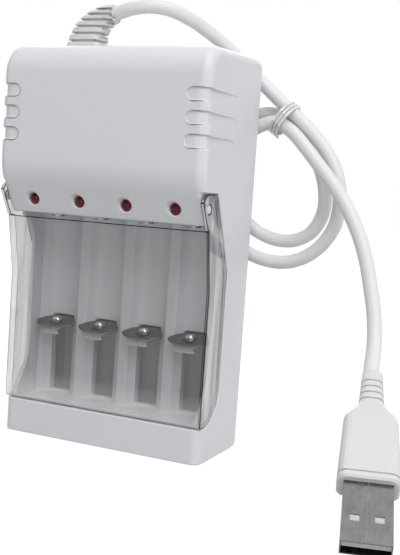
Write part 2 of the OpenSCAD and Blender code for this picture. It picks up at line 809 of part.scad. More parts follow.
// Moulding of the plug: a grip with a lip at its mouth, a shoulder and a grooved collar
module plug_overmould() {
    neck_y = shell_l + grip_l;
    collar_y = neck_y + neck_l;
    neck = [grip_w - 2 * grip_taper, grip_h - grip_taper];
    collar = [collar_w[0], collar_w[0] - grip_taper];
    tip = [collar_w[1], collar_w[1]];
    function mix(a, b, s) = a + (b - a) * s;
    function ease(s) = (1 - cos(180 * s)) / 2;
    function groove(y, size) =
        let (low = size - [2, 2] * groove_cut)
        [[y, size], [y, low], [y + groove_w, low], [y + groove_w, size]];
    stations = concat(
        [[shell_l, [grip_w - 1, grip_h - 1]], [shell_l + 0.5, [grip_w, grip_h]]],
        groove(shell_l + lip_l - groove_w, [grip_w, grip_h]),
        [for (s = [0 : 0.125 : 1]) [mix(neck_y, collar_y, s), mix(neck, collar, ease(s))]],
        [for (k = [1 : collar_grooves])
            each groove(collar_y + (k - 0.8) * collar_step, mix(collar, tip, k * collar_step / collar_l))],
        [[plug_l, tip]]
    );
    color("white")
        placed_plug()
            difference() {
                loft([for (t = stations)
                    let (w = t[1].x / 2, h = t[1].y / 2, r = min(grip_r, 0.8 * h))
                    [for (p = rounded([[w, -h, r], [w, h, r], [-w, h, r], [-w, -h, r]], 4))
                        [p.x, t[0], p.y]]]);
                translate([0, shell_l / 2, 0]) cube([shell_w, shell_l + 8, shell_h], center = true);
            }
}

// Folded shell of the plug, with a seam and two latch holes in each broad face
module plug_shell() {
    hole = [2.3, 2];
    hole_y = 6.2;
    hole_x = 2.9;
    color("silver")
        placed_plug()
            difference() {
                translate([-shell_w / 2, 0, -shell_h / 2]) cube([shell_w, shell_l + 4, shell_h]);
                translate([-shell_w / 2 + shell_wall, -1, -shell_h / 2 + shell_wall])
                    cube([shell_w - 2 * shell_wall, shell_l + 6, shell_h - 2 * shell_wall]);
                for (x = [-hole_x, hole_x])
                    translate([x - hole.x / 2, hole_y, -shell_h]) cube([hole.x, hole.y, 2 * shell_h]);
                translate([-0.08, -1, 0]) cube([0.16, shell_l + 6, shell_h]);
            }
}

// Insulating tongue inside the shell
module plug_tongue() {
    color("white")
        placed_plug()
            translate([-shell_w / 2 + shell_wall, 0.4, shell_h / 2 - shell_wall - tongue_t])
                cube([shell_w - 2 * shell_wall, shell_l + 3.6, tongue_t]);
}

// Four contact strips on the tongue
module plug_contacts() {
    color("gold")
        placed_plug()
            for (x = [-3.5, -1, 1, 3.5])
                translate([x - 0.5, 1.2, shell_h / 2 - shell_wall - tongue_t - 0.2]) cube([1, shell_l, 0.2]);
}

front_housing();
rear_cover();
case_screws();
clear_cover();
for (i = [0 : bays - 1]) {
    led(i);
    slider_contact(i);
    slider_spring(i);
    positive_contact(i);
}
negative_bus();
circuit_board();
board_screws();
controller_chip();
charge_transistors();
charge_resistors();
filter_capacitor();
power_leads();
strain_relief();
cord();
twist_tie();
plug_overmould();
plug_shell();
plug_tongue();
plug_contacts();
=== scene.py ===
import json
import math

import bmesh
import bpy
import numpy as np
from bpy.props import FloatProperty, FloatVectorProperty, PointerProperty
from mathutils import Matrix, Vector


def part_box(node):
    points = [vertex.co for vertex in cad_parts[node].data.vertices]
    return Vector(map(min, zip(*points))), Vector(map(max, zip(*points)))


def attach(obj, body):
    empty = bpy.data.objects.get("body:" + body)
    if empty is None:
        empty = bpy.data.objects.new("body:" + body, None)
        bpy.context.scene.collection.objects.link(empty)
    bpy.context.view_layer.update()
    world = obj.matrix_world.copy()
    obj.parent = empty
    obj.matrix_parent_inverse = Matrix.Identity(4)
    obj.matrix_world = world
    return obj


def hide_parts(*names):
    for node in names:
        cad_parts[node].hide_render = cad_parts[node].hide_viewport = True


bl_info = {
    "name": "Cell charger",
    "version": (1, 0, 0),
    "blender": (4, 5, 0),
    "location": "3D View > Sidebar > Charger",
    "description": "Dresses the solids of a charger for AA and AAA cells",
    "category": "Add Mesh",
}

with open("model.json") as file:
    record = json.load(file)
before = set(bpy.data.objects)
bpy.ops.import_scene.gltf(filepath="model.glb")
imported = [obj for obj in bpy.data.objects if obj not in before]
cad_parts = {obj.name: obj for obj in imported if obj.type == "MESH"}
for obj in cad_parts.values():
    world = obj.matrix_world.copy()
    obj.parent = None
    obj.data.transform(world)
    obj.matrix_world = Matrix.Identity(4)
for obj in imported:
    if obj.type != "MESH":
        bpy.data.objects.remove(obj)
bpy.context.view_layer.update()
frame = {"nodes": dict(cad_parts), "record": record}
NODES = frame["nodes"]
RECORD = frame["record"]
BODY_OF = {node: body for body, nodes in RECORD["behaviour"]["bodies"].items() for node in nodes}

MM = 0.001
BAYS = range(1, 5)
BAY_PITCH = 16 * MM

# Camera: where it stands, the way it looks, its roll in degrees, its lens in millimetres and its near limit
CAMERA_AT = MM * Vector((139.78, -256.54, 79.13))
CAMERA_LOOKS = Vector((-0.4038, 0.9106, -0.0878))
CAMERA_ROLL = 4.02
CAMERA_LENS = 60.36
CAMERA_NEAR = 10 * MM

# Studio lights: name, place and width in metres, and power in watts, and the place that all of them face
LIGHTS = (
    ("Key", (0.58, -0.62, 0.95), 0.9, 9.6),
    ("Top", (0.0, 0.0, 1.17), 0.9, 2.9),
    ("Left", (-0.9, -0.7, 0.45), 0.7, 0.5),
    ("Low", (0.2, -0.5, 0.05), 0.12, 0.34),
    ("Right", (0.5, 0.1, 0.04), 0.2, 0.5),
    ("Back", (-0.4, 0.95, 0.5), 0.8, 4.0),
)
LIGHTS_AIM = Vector((0.02, 0, 0.06))

# White room: its strength as light on the object, and as it is seen
ROOM_LIGHT = 0.35
ROOM_SEEN = 1.0

# Floor: half its width in metres, its grey as it lights the object and as it is seen, and its seen glow
FLOOR_HALF = 2.5
FLOOR_GREY = 0.45
FLOOR_SEEN_GREY = 0.1
FLOOR_SEEN_GLOW = 0.94

# Solids: the distance at which corners are one, the turn up to which facets are one face, the turn from which
# an edge is sharp, there and at the ends of the cord, and the steps of a rounded edge
WELD = 0.002 * MM
FLAT_TURN = math.radians(0.3)
SHARP_TURN = math.radians(35)
END_TURN = math.radians(50)
ROUND_STEPS = 2

# Shares of a face's normal along an axis, where it looks that way hardly, halfway or squarely
HARDLY = 0.1
HALFWAY = 0.7
SQUARELY = 0.999

# Casing: ranges of y and z where edges stay crisp, at the grip grooves and at the tops of the ear recesses,
# the margin round a lamp where they do too, and the depth from which a wall in its sides belongs to a recess
CRISP_ZONES = (
    ((-15 * MM, 4 * MM), (90 * MM, 110 * MM)),
    ((-20 * MM, -4 * MM), (79 * MM, 81 * MM)),
)
LAMP_MARGIN = 1 * MM
RECESS_DEPTH = 1 * MM

# Cover: its material slots, the greatest width of a trimmed edge, the depth of its sides in which the flaps
# lie, and the height and share of the haze above its lower edge
SHEET_SLOT, EDGE_SLOT, CORNER_SLOT, FLAP_SLOT = range(4)
EDGE_WIDTH = 2 * MM
FLAP_DEPTH = 3 * MM
HAZE_HEIGHT = 12 * MM
HAZE = 0.32

# Lamps: shares of the radius where the lens stops being dark and its painted rim light begins, and where
# that painted light is full
LENS_DARK = 0.45
LENS_GLOW_FULL = 0.78

# Sliding contacts: how far the dimple lies behind the front edge, the radii between which the painted
# highlight on its crown ends, the height of that crown, and how far the lip curls down and how much
# painted highlight it takes over the painted shade of the flat
DIMPLE_BACK = 5 * MM
DIMPLE_CROWN = 1.2 * MM
DIMPLE_FOOT = 2.4 * MM
DIMPLE_RISE = 0.8 * MM
LIP_DEPTH = 2.6 * MM
LIP_HIGHLIGHT = 0.55

# Plastics inside the casing: node, name of the material, colour, and grain size in millimetres
INSIDE = (
    ("circuit_board", "Green solder mask", "#1E5A34", 0.8),
    ("controller_chip", "Black epoxy", "#1B1B1C", 0.4),
    ("charge_transistors", "Black epoxy", "#1B1B1C", 0.4),
    ("charge_resistors", "Dipped resistor", "#C9AE80", 0.5),
    ("filter_capacitor", "Sleeved capacitor", "#20243C", 0.6),
    ("power_leads", "Red lead insulation", "#A3221C", 0.6),
)

# Cord: steps from one point of its route to the next, and sides of its section
CORD_STEPS = 6
CORD_SIDES = 16

# Route of the cord in metres, from the boot over the top, twice round behind the casing and down to the plug
CORD_ROUTE = MM * np.array([
    (-11, 4, 134.2), (-5, 4.2, 135.8), (0.5, 6, 136.6), (5.5, 9.5, 136.2), (10, 14.5, 134.3),
    (14, 19.5, 131.5), (18.5, 23.5, 127.8), (23.5, 26.2, 123), (29, 27.4, 118), (34.8, 28, 113),
    (40.5, 28.4, 108.2), (46, 28.6, 103.6), (51, 28.6, 98.8), (55.5, 28.4, 93.2), (58.5, 28.2, 86.6),
    (59.5, 28, 79.5), (58.5, 28, 72.5), (55, 28, 66.4), (49.5, 28, 61.8), (43, 28, 59.6),
    (36, 28, 59.8), (29, 28, 62), (22.5, 28.5, 66.2), (17.8, 29.2, 72.3), (15.3, 29.8, 79.4),
    (14.9, 30.4, 87), (16.4, 31, 94.2), (20.3, 31.6, 100.6), (26, 31.7, 105.4), (32.5, 31.9, 107.2),
    (39, 32, 105.6), (44, 32.1, 101), (48, 32.2, 95.4), (51.4, 32.2, 89.4), (53.2, 32.3, 83),
    (53.1, 32.4, 76.2), (50.1, 32.4, 70.2), (44.8, 32.3, 66.9), (38.5, 32, 66.4), (32.2, 31.2, 68.4),
    (26.9, 30, 72.4), (23.4, 28.6, 78.3), (22, 27.3, 85.2), (22.8, 26.4, 92), (25.9, 26.2, 98),
    (30.8, 26.8, 102.3), (36.9, 27, 103.9), (42.7, 25.7, 101.2), (48, 24.4, 96.4), (53, 23.4, 91.2),
    (58, 22.2, 86), (62.5, 20.9, 80.7), (66.5, 19.5, 74.8), (70, 18, 68.5), (72.8, 16.2, 61.8),
    (75, 14.2, 55.2), (76.9, 12.2, 49), (78.3, 9.6, 43.2), (79.3, 6.3, 38.3), (80, 2.3, 34.5),
    (81.3, -2.6, 31.6),
])

# Shaders: the middle of a noise's range, a Mix node's colour sockets, and what makes a surface metal
NOISE_LOW = 0.3
NOISE_HIGH = 0.7
MIX_FIRST, MIX_SECOND, MIX_RESULT = 6, 7, 2
METAL = {"Metallic": 1.0}


def linear(code):
    """Linear red, green, blue and alpha of an sRGB hex colour."""
    srgb = [int(code[i:i + 2], 16) / 255 for i in (1, 3, 5)]
    return tuple(c / 12.92 if c <= 0.04045 else ((c + 0.055) / 1.055) ** 2.4 for c in srgb) + (1.0,)


def colour(code, name, description):
    """Colour property with an sRGB hex default."""
    return FloatVectorProperty(
        name=name, description=description, default=linear(code), size=4, subtype="COLOR", min=0, max=1)


def length(mm, name, description):
    """Length property with a default in millimetres."""
    return FloatProperty(
        name=name, description=description, default=mm * MM, unit="LENGTH", subtype="DISTANCE")


class ChargerSizes(bpy.types.PropertyGroup):
    """Sizes of the finish."""
    casing_edge: length(0.35, "Casing edge", "Rounding along the casing's moulded edges")
    cover_edge: length(0.3, "Cover edge", "Rounding along the clear cover's edges")
    metal_edge: length(0.12, "Metal edge", "Rounding along stamped metal edges")
    boot_edge: length(0.15, "Boot edge", "Rounding along the boot's moulded edges")
    cord_width: length(4.4, "Cord", "Diameter of the cord")


class ChargerColours(bpy.types.PropertyGroup):
    """Colours of the materials."""
    abs: colour("#D3D5D9", "ABS", "White moulded casing")
    clear: colour("#F3F3F3", "Polycarbonate", "Clear cover")
    sheen: colour("#F9F9F9", "Cover sheen", "Gloss of the clear cover")
    # The grey tints of the cover's trimmed edges and rounded corners are painted shade, for the dark of
    # refraction
    cut: colour("#A8ABAE", "Cover edge", "Painted shade on the trimmed edges of the clear cover")
    corner: colour("#7A7D80", "Cover corner in painted shade", "Painted shade on the rounded corners of the clear cover")
    lens: colour("#4A060C", "Lens", "Middle of the lamps' lenses")
    # The lighter red along the lens rims is painted light
    rim: colour("#A51E2B", "Lens rim", "Painted light on the rims of the lamps' lenses")
    # Flat of the sliding contacts darkened as painted shade, and the painted highlight on their dimples and
    # lips
    painted_shade_nickel: colour("#56565A", "Nickel in painted shade", "Flat of the plated sliding contacts")
    nickel: colour("#D6D6D9", "Nickel", "Painted highlights on the sliding contacts")
    button: colour("#A0A0A4", "Button nickel", "Plated fixed contacts")
    shell: colour("#6A6A69", "Shell", "Brushed plug shell")
    tongue: colour("#C6C6C3", "Tongue", "Moulded tongue of the plug")
    wire: colour("#A9AAAD", "Wire", "Springs of the sliding contacts")
    zinc: colour("#B7BABF", "Zinc", "Plated screws")
    brass: colour("#C7A24E", "Brass", "Bus bar and plug contacts")
    pvc: colour("#D8D8D9", "PVC", "Cord and its wire tie")
    moulding: colour("#D0D0D1", "Moulded PVC", "Boot and plug moulding")


def add(tree, kind, inputs=None, **settings):
    """Adds a shader node, sets its properties, and sets or links its inputs."""
    node = tree.nodes.new("ShaderNode" + kind)
    for name, value in settings.items():
        setattr(node, name, value)
    for name, value in (inputs or {}).items():
        if isinstance(value, bpy.types.NodeSocket):
            tree.links.new(value, node.inputs[name])
        else:
            node.inputs[name].default_value = value
    return node


def blank(name):
    """New material with an empty node tree."""
    material = bpy.data.materials.new(name)
    material.use_nodes = True
    material.node_tree.nodes.clear()
    return material, material.node_tree


def surface(tree, inputs):
    """Ends a material in a Principled shader with these inputs."""
    shader = add(tree, "BsdfPrincipled", inputs)
    add(tree, "OutputMaterial", {"Surface": shader.outputs[0]})


def grain(tree, size, detail=2.0, stretch=(1, 1, 1)):
    """Noise with a grain of that size in millimetres on Object coordinates, drawn out along the axes where
    the share stretch is small."""
    place = add(tree, "TexCoord")
    drawn = add(tree, "Mapping", {"Vector": place.outputs["Object"], "Scale": stretch})
    noise = add(tree, "TexNoise", {"Vector": drawn.outputs[0], "Scale": 1 / (size * MM), "Detail": detail})
    return noise.outputs["Fac"]


def uneven(tree, noise, rough=None, tint=None, dimmest=1.0, dents=None):
    """Shader inputs that a noise makes uneven: a roughness that the middle of its range carries from the
    first to the second of rough, a tint that it dims down to the share dimmest, and a normal that it bends
    as by dents, given as their depth in millimetres and their strength."""
    inputs = {}
    middle = {"Value": noise, "From Min": NOISE_LOW, "From Max": NOISE_HIGH}
    if rough is not None:
        level = add(tree, "MapRange", {**middle, "To Min": rough[0], "To Max": rough[1]})
        inputs["Roughness"] = level.outputs[0]
    if tint is not None:
        level = add(tree, "MapRange", {**middle, "To Min": dimmest, "To Max": 1.0})
        dimmed = add(tree, "Mix", {0: 1.0, MIX_FIRST: tint, MIX_SECOND: level.outputs[0]},
                     data_type="RGBA", blend_type="MULTIPLY")
        inputs["Base Color"] = dimmed.outputs[MIX_RESULT]
    if dents is not None:
        bent = add(tree, "Bump", {"Height": noise, "Distance": dents[0] * MM, "Strength": dents[1]})
        inputs["Normal"] = bent.outputs[0]
    return inputs


def grained(name, tint, size, dimmest, rough, dents=None, constants=None):
    """Material, made once for its name, whose tint, roughness and dents follow one grain of that size in
    millimetres, with further inputs that are constant."""
    made = bpy.data.materials.get(name)
    if made:
        return made
    material, tree = blank(name)
    surface(tree, {**uneven(tree, grain(tree, size), rough, tint, dimmest, dents), **(constants or {})})
    return material


def moulded_abs(tint):
    """White ABS from a spark-eroded mould: satin, with faint flow marks, and with a grain that is drawn half
    a millimetre wide, coarser than the real one, so that it shows."""
    material, tree = blank("Moulded white ABS")
    fine = uneven(tree, grain(tree, 0.5), rough=(0.36, 0.46), dents=(0.02, 0.25))
    flow = uneven(tree, grain(tree, 30, detail=1.0), tint=tint, dimmest=0.975)
    surface(tree, {**fine, **flow, "IOR": 1.53})
    return material


def clear_polycarbonate(name, tint, sheen, hem, frost=0.0, polish=1.0, streaks=0.0):
    """Polished clear polycarbonate: a thin sheet that lets most light straight through, under a gloss that
    grows towards grazing views and has scuffs a few millimetres long. Fingers have made it hazy along its
    lower edge, which is at the height hem. A trimmed edge is lit from within the sheet and looks pale by the
    share frost. A rounded corner keeps only the share polish of the gloss, and draws a dark line. On edges
    and corners, the grey tint is painted shade, in place of the dark that refraction shows there. A flap has
    upright flow lines 2 mm apart from the mould, which catch light up to the share streaks."""
    material, tree = blank(name)
    place = add(tree, "TexCoord")
    height = add(tree, "SeparateXYZ", {0: place.outputs["Object"]})
    haze = add(tree, "MapRange", {
        "Value": height.outputs["Z"], "From Min": hem, "From Max": hem + HAZE_HEIGHT,
        "To Min": HAZE, "To Max": 0.0,
    })
    shape = add(tree, "NewGeometry")
    outer = add(tree, "MapRange", {"Value": shape.outputs["Backfacing"], "To Min": polish, "To Max": 0.0})
    grazing = add(tree, "Fresnel", {"IOR": 1.585})
    milky = add(tree, "Math", {0: grazing.outputs[0], 1: haze.outputs[0]}, operation="MAXIMUM")
    sheet = add(tree, "Math", {0: milky.outputs[0], 1: outer.outputs[0]}, operation="MULTIPLY")
    pale = frost
    if streaks > 0:
        flow = add(tree, "MapRange", {
            "Value": grain(tree, 2, stretch=(1, 1, 0.06)), "From Min": NOISE_LOW, "From Max": NOISE_HIGH,
            "To Min": frost, "To Max": streaks,
        })
        pale = flow.outputs[0]
    share = add(tree, "Math", {0: sheet.outputs[0], 1: pale}, operation="MAXIMUM")
    scuffs = uneven(tree, grain(tree, 4, detail=4.0), rough=(0.04, 0.12), dents=(0.02, 0.06))
    rough = add(tree, "Math", {0: scuffs["Roughness"], 1: haze.outputs[0]}, operation="MAXIMUM")
    gloss = add(tree, "BsdfPrincipled", {
        **METAL, "Base Color": sheen, "Roughness": rough.outputs[0], "Normal": scuffs["Normal"],
    })
    clear = add(tree, "BsdfTransparent", {"Color": tint})
    mix = add(tree, "MixShader", {0: share.outputs[0], 1: clear.outputs[0], 2: gloss.outputs[0]})
    add(tree, "OutputMaterial", {"Surface": mix.outputs[0]})
    return material


def lens_with_painted_rim_light(middle, rim):
    """Red epoxy lamp lens: dark in the middle, and painted a lighter red along its rim, as painted light in
    place of the light scattered where its wall is thin. The attribute rim of its mesh says how far out a
    point lies, as a share of the radius."""
    material, tree = blank("Red epoxy lens with painted rim light")
    out = add(tree, "Attribute", attribute_name="rim")
    ramp = add(tree, "ValToRGB", {"Fac": out.outputs["Fac"]})
    # A lighter red towards the rim: painted light
    dark, painted_glow = ramp.color_ramp.elements
    dark.position = LENS_DARK
    dark.color = middle
    painted_glow.position = LENS_GLOW_FULL
    painted_glow.color = rim
    polished = uneven(tree, grain(tree, 0.8), rough=(0.12, 0.2))
    surface(tree, {**polished, "Base Color": ramp.outputs[0], "IOR": 1.55, "Specular IOR Level": 0.2})
    return material


def nickel_plate(name, tint, dull):
    """Nickel on stamped steel: a soft mirror with darker spots, and with rolling marks under a millimetre
    wide whose roughness goes up to dull."""
    material, tree = blank(name)
    rolled = grain(tree, 0.6, detail=3.0, stretch=(1, 0.12, 0.12))
    marks = uneven(tree, rolled, rough=(dull / 2, dull), dents=(0.01, 0.25))
    spots = uneven(tree, grain(tree, 3), tint=tint, dimmest=0.82)
    surface(tree, {**marks, **spots, **METAL})
    return material


def nickel_with_painted_light(tint, painted_highlight_tint, dimple, lip):
    """Nickel on stamped steel with light painted into its colour: the tint darkens its flat as painted
    shade, and the painted highlight colour lies on the dimple, round the point dimple of one bay, and below
    the height lip, where the front edge curls down. The bays repeat at their pitch."""
    material, tree = blank("Nickel-plated steel with painted light")
    place = add(tree, "TexCoord")
    away = add(tree, "VectorMath", {0: place.outputs["Object"], 1: dimple}, operation="SUBTRACT")
    part = add(tree, "SeparateXYZ", {0: away.outputs["Vector"]})
    aside = add(tree, "Math", {0: part.outputs["X"], 1: BAY_PITCH / 2, 2: -BAY_PITCH / 2}, operation="WRAP")
    level = add(tree, "CombineXYZ", {"X": aside.outputs[0], "Y": part.outputs["Y"]})
    far = add(tree, "VectorMath", {0: level.outputs[0]}, operation="LENGTH")
    crown = add(tree, "MapRange", {
        "Value": far.outputs["Value"], "From Min": DIMPLE_CROWN, "From Max": DIMPLE_FOOT,
        "To Min": 1.0, "To Max": 0.0,
    })
    curl = add(tree, "MapRange", {
        "Value": part.outputs["Z"], "From Min": lip - LIP_DEPTH, "From Max": lip,
        "To Min": LIP_HIGHLIGHT, "To Max": 0.0,
    })
    # The crown and the curled lip take the painted highlight, and the rest of the flat keeps the painted
    # shade
    painted_light = add(tree, "Math", {0: crown.outputs[0], 1: curl.outputs[0]}, operation="MAXIMUM")
    shade_and_highlight = add(tree, "Mix", {0: painted_light.outputs[0], MIX_FIRST: tint, MIX_SECOND: painted_highlight_tint}, data_type="RGBA")
    marks = uneven(tree, grain(tree, 0.9, detail=3.0), rough=(0.08, 0.16), dents=(0.01, 0.2))
    dome = add(tree, "Bump", {
        "Height": crown.outputs[0], "Distance": DIMPLE_RISE, "Strength": 1.0, "Normal": marks["Normal"],
    })
    surface(tree, {**marks, **METAL, "Base Color": shade_and_highlight.outputs[MIX_RESULT], "Normal": dome.outputs[0]})
    return material


def drawn_wire(tint):
    """Drawn spring wire: grey steel with a fine uneven sheen."""
    return grained("Drawn spring steel", tint, size=0.4, dimmest=0.85, rough=(0.25, 0.4), constants=METAL)


def zinc_screw(tint):
    """Zinc-plated screw: pale bluish steel, a little dull."""
    return grained("Zinc-plated steel", tint, size=0.7, dimmest=0.85, rough=(0.28, 0.42), constants=METAL)


def brass_strip(tint):
    """Stamped brass strip with a slightly uneven tarnish."""
    return grained("Stamped brass strip", tint, size=2, dimmest=0.8, rough=(0.22, 0.36), constants=METAL)


def soft_pvc(name, tint):
    """Soft white PVC from an extruder or a mould: low sheen, and a finely dimpled skin, whose dimples are
    drawn about a millimetre wide so that they show."""
    return grained(name, tint, size=1.2, dimmest=0.975, rough=(0.4, 0.5), dents=(0.02, 0.15),
                   constants={"IOR": 1.53})


def dull_plastic(name, tint, size):
    """Plain moulded or dipped electronic plastic: dull, with a grain of that size in millimetres."""
    return grained(name, tint, size, dimmest=0.85, rough=(0.45, 0.6), constants={"IOR": 1.5})


def seen(tree):
    """Level that is 1 where a surface is seen, directly, mirrored or through the cover, and 0 where it only
    sends light on to the object."""
    rays = add(tree, "LightPath")
    direct = add(tree, "Math", {0: rays.outputs["Is Camera Ray"], 1: rays.outputs["Is Transmission Ray"]},
                 operation="MAXIMUM")
    either = add(tree, "Math", {0: direct.outputs[0], 1: rays.outputs["Is Glossy Ray"]}, operation="MAXIMUM")
    return either.outputs[0]


def white_room():
    """World of even white light, brighter where it is seen than where it lights the object."""
    world = bpy.data.worlds.new("White room")
    world.use_nodes = True
    tree = world.node_tree
    tree.nodes.clear()
    level = add(tree, "MapRange", {"Value": seen(tree), "To Min": ROOM_LIGHT, "To Max": ROOM_SEEN})
    glow = add(tree, "Background", {"Color": linear("#FFFFFF"), "Strength": level.outputs[0]})
    add(tree, "OutputWorld", {"Surface": glow.outputs[0]})
    return world


def white_paper():
    """Matt white paper: where it is seen, a glow takes the place of most of its grey, so that it meets the
    room without an edge and still shows the object's shadow."""
    material, tree = blank("White paper floor")
    shown = seen(tree)
    glow = add(tree, "Math", {0: shown, 1: FLOOR_SEEN_GLOW}, operation="MULTIPLY")
    grey = add(tree, "MapRange", {"Value": shown, "To Min": FLOOR_GREY, "To Max": FLOOR_SEEN_GREY})
    surface(tree, {
        **uneven(tree, grain(tree, 2), rough=(0.85, 0.95)), "Base Color": grey.outputs[0],
        "Specular IOR Level": 0.1, "Emission Color": linear("#FFFFFF"), "Emission Strength": glow.outputs[0],
    })
    return material


def link(name, data):
    """New object of a mesh, lamp or camera in the scene."""
    thing = bpy.data.objects.new(name, data)
    bpy.context.scene.collection.objects.link(thing)
    return thing


def facing(place, way):
    """Matrix that moves a lamp or camera to a place and turns it to look along way."""
    return Matrix.Translation(place) @ way.to_track_quat("-Z", "Y").to_matrix().to_4x4()


def put(name, mesh, material, body):
    """New object of a mesh in a material, that rides on a body."""
    mesh.materials.append(material)
    piece = link(name, mesh)
    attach(piece, body)
    return piece


def merged(node, name, crisp, split):
    """Mesh of a solid with its facets merged, its curves shaded smoothly, and its sharp edges weighted for
    rounding. Edges whose middles lie in one of the boxes crisp, pairs of low and high corners, get no
    weight. Flat faces that look sideways less than split from the middle, where they reach round a notch,
    stay divided into triangles."""
    work = bmesh.new()
    work.from_mesh(NODES[node].data)
    bmesh.ops.remove_doubles(work, verts=work.verts, dist=WELD)
    bmesh.ops.dissolve_limit(work, angle_limit=FLAT_TURN, verts=work.verts, edges=work.edges)
    aside = [
        face for face in work.faces
        if abs(face.normal.x) > SQUARELY and abs(face.verts[0].co.x) < split
    ]
    bmesh.ops.triangulate(work, faces=aside)
    work.verts.index_update()
    points = [v.co[:] for v in work.verts]
    faces = [[v.index for v in face.verts] for face in work.faces]
    bends = {}
    for line in work.edges:
        middle = (line.verts[0].co + line.verts[1].co) / 2
        kept = any(all(a <= c <= b for a, c, b in zip(low, middle, high)) for low, high in crisp)
        turns = len(line.link_faces) == 2 and line.calc_face_angle() > SHARP_TURN
        bends[frozenset(v.index for v in line.verts)] = float(turns and not kept)
    work.free()
    mesh = bpy.data.meshes.new(name)
    mesh.from_pydata(points, [], faces)
    mesh.shade_smooth()
    mesh.set_sharp_from_angle(angle=SHARP_TURN)
    weights = mesh.attributes.new("bevel_weight_edge", "FLOAT", "EDGE")
    weights.data.foreach_set("value", [bends[frozenset(line.vertices)] for line in mesh.edges])
    return mesh


def dressed(node, name, material, edge, crisp=(), split=0.0):
    """Piece that takes a solid's place: the solid's merged mesh in a material, with its sharp edges rounded
    by edge and its flat faces shaded flat beside them."""
    piece = put(name, merged(node, name, crisp, split), material, BODY_OF[node])
    if edge > 0:
        bevel = piece.modifiers.new("Rounded edges", "BEVEL")
        bevel.width = edge
        bevel.segments = ROUND_STEPS
        bevel.limit_method = "WEIGHT"
        bevel.use_clamp_overlap = False
    even = piece.modifiers.new("Even shading", "WEIGHTED_NORMAL")
    even.keep_sharp = True
    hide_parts(node)
    return piece


def paint(node, material):
    """Gives a solid that stays as it is its material."""
    NODES[node].data.materials.clear()
    NODES[node].data.materials.append(material)


def cover_slot(mesh, face, flap):
    """Material slot of one of the cover's faces: a flap's where it looks outwards further out than flap, an
    edge's where it is narrow and looks up or down or lies further out than flap, and else the sheet's."""
    if face.normal.x * face.center.x > flap:
        return FLAP_SLOT
    corners = [mesh.vertices[k].co for k in face.vertices]
    longest = max((a - b).length for a, b in zip(corners, corners[1:] + corners[:1]))
    narrow = abs(face.normal.x) < HARDLY and face.area / longest < EDGE_WIDTH
    if narrow and (abs(face.normal.y) < HALFWAY or abs(face.center.x) > flap):
        return EDGE_SLOT
    return SHEET_SLOT


def unit(vectors):
    """Vectors of length one along the last axis."""
    return vectors / np.linalg.norm(vectors, axis=-1, keepdims=True)


def smooth_route(points, steps):
    """Curve through the points: on each stretch a cubic whose slope at a point is half the way between its
    neighbours."""
    ends = np.vstack([2 * points[0] - points[1], points, 2 * points[-1] - points[-2]])
    p0, p1, p2, p3 = (ends[k:len(ends) - 3 + k, None] for k in range(4))
    t = (np.arange(steps) / steps)[None, :, None]
    bend = 2 * p0 - 5 * p1 + 4 * p2 - p3
    twist = 3 * p1 - p0 - 3 * p2 + p3
    curve = 0.5 * (2 * p1 + (p2 - p0) * t + bend * t ** 2 + twist * t ** 3)
    return np.vstack([curve.reshape(-1, 3), points[-1:]])


def circle(radius, sides):
    """Points of a circle: cosine and sine of equal turns, times the radius."""
    turn = np.linspace(0, 2 * np.pi, sides, endpoint=False)
    return radius * np.stack([np.cos(turn), np.sin(turn)], axis=-1)


def swept(path, section, across):
    """Rings of a section carried along a path: section holds two offsets a point, the first along the cross
    product of the path's direction and across, the second at right angles to the path and to the first."""
    along = unit(np.gradient(path, axis=0))
    first = unit(np.cross(along, across))
    second = np.cross(first, along)
    return path[:, None] + section[:, :1] * first[:, None] + section[:, 1:] * second[:, None]


def skin(name, rings):
    """Mesh of a grid of closed rings, an array of stations by points by three, with flat end caps."""
    stations, around = rings.shape[:2]
    i, j = np.meshgrid(np.arange(stations - 1), np.arange(around), indexing="ij")
    a = i * around + j
    b = i * around + (j + 1) % around
    faces = np.stack([a, b, b + around, a + around], axis=-1).reshape(-1, 4).tolist()
    last = (stations - 1) * around
    faces.append(list(range(around))[::-1])
    faces.append(list(range(last, last + around)))
    mesh = bpy.data.meshes.new(name)
    mesh.from_pydata(rings.reshape(-1, 3).tolist(), [], faces)
    mesh.shade_smooth()
    mesh.set_sharp_from_angle(angle=END_TURN)
    return mesh


class CHARGER_OT_stage(bpy.types.Operator):
    """Camera, lights, white room and floor"""
    bl_idname = "charger.stage"
    bl_label = "Stage"

    def execute(self, context):
        lens = bpy.data.cameras.new("Camera")
        lens.lens = CAMERA_LENS
        lens.clip_start = CAMERA_NEAR
        camera = link("Camera", lens)
        roll = Matrix.Rotation(math.radians(CAMERA_ROLL), 4, "Z")
        camera.matrix_world = facing(CAMERA_AT, CAMERA_LOOKS) @ roll
        context.scene.camera = camera
        context.scene.view_settings.view_transform = "Standard"

        for name, place, width, power in LIGHTS:
            lamp = bpy.data.lights.new(name, "AREA")
            lamp.size = width
            lamp.energy = power
            light = link(name, lamp)
            light.matrix_world = facing(Vector(place), LIGHTS_AIM - Vector(place))

        context.scene.world = white_room()
        half = FLOOR_HALF
        corners = [(-half, -half, 0), (half, -half, 0), (half, half, 0), (-half, half, 0)]
        mesh = bpy.data.meshes.new("Floor")
        mesh.from_pydata(corners, [], [(0, 1, 2, 3)])
        mesh.materials.append(white_paper())
        floor = link("Floor", mesh)
        return {"FINISHED"}


class CHARGER_OT_cord(bpy.types.Operator):
    """Cord along its route, with its wire tie"""
    bl_idname = "charger.cord"
    bl_label = "Cord"

    def execute(self, context):
        sizes = context.scene.charger_sizes
        pvc = soft_pvc("Extruded white PVC", context.scene.charger_colours.pvc)
        path = smooth_route(CORD_ROUTE, CORD_STEPS)
        rings = swept(path, circle(sizes.cord_width / 2, CORD_SIDES), (0, 1, 0))
        cord = put("cord_lead", skin("cord_lead", rings), pvc, "casing")
        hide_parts("cord")
        paint("twist_tie", pvc)
        return {"FINISHED"}


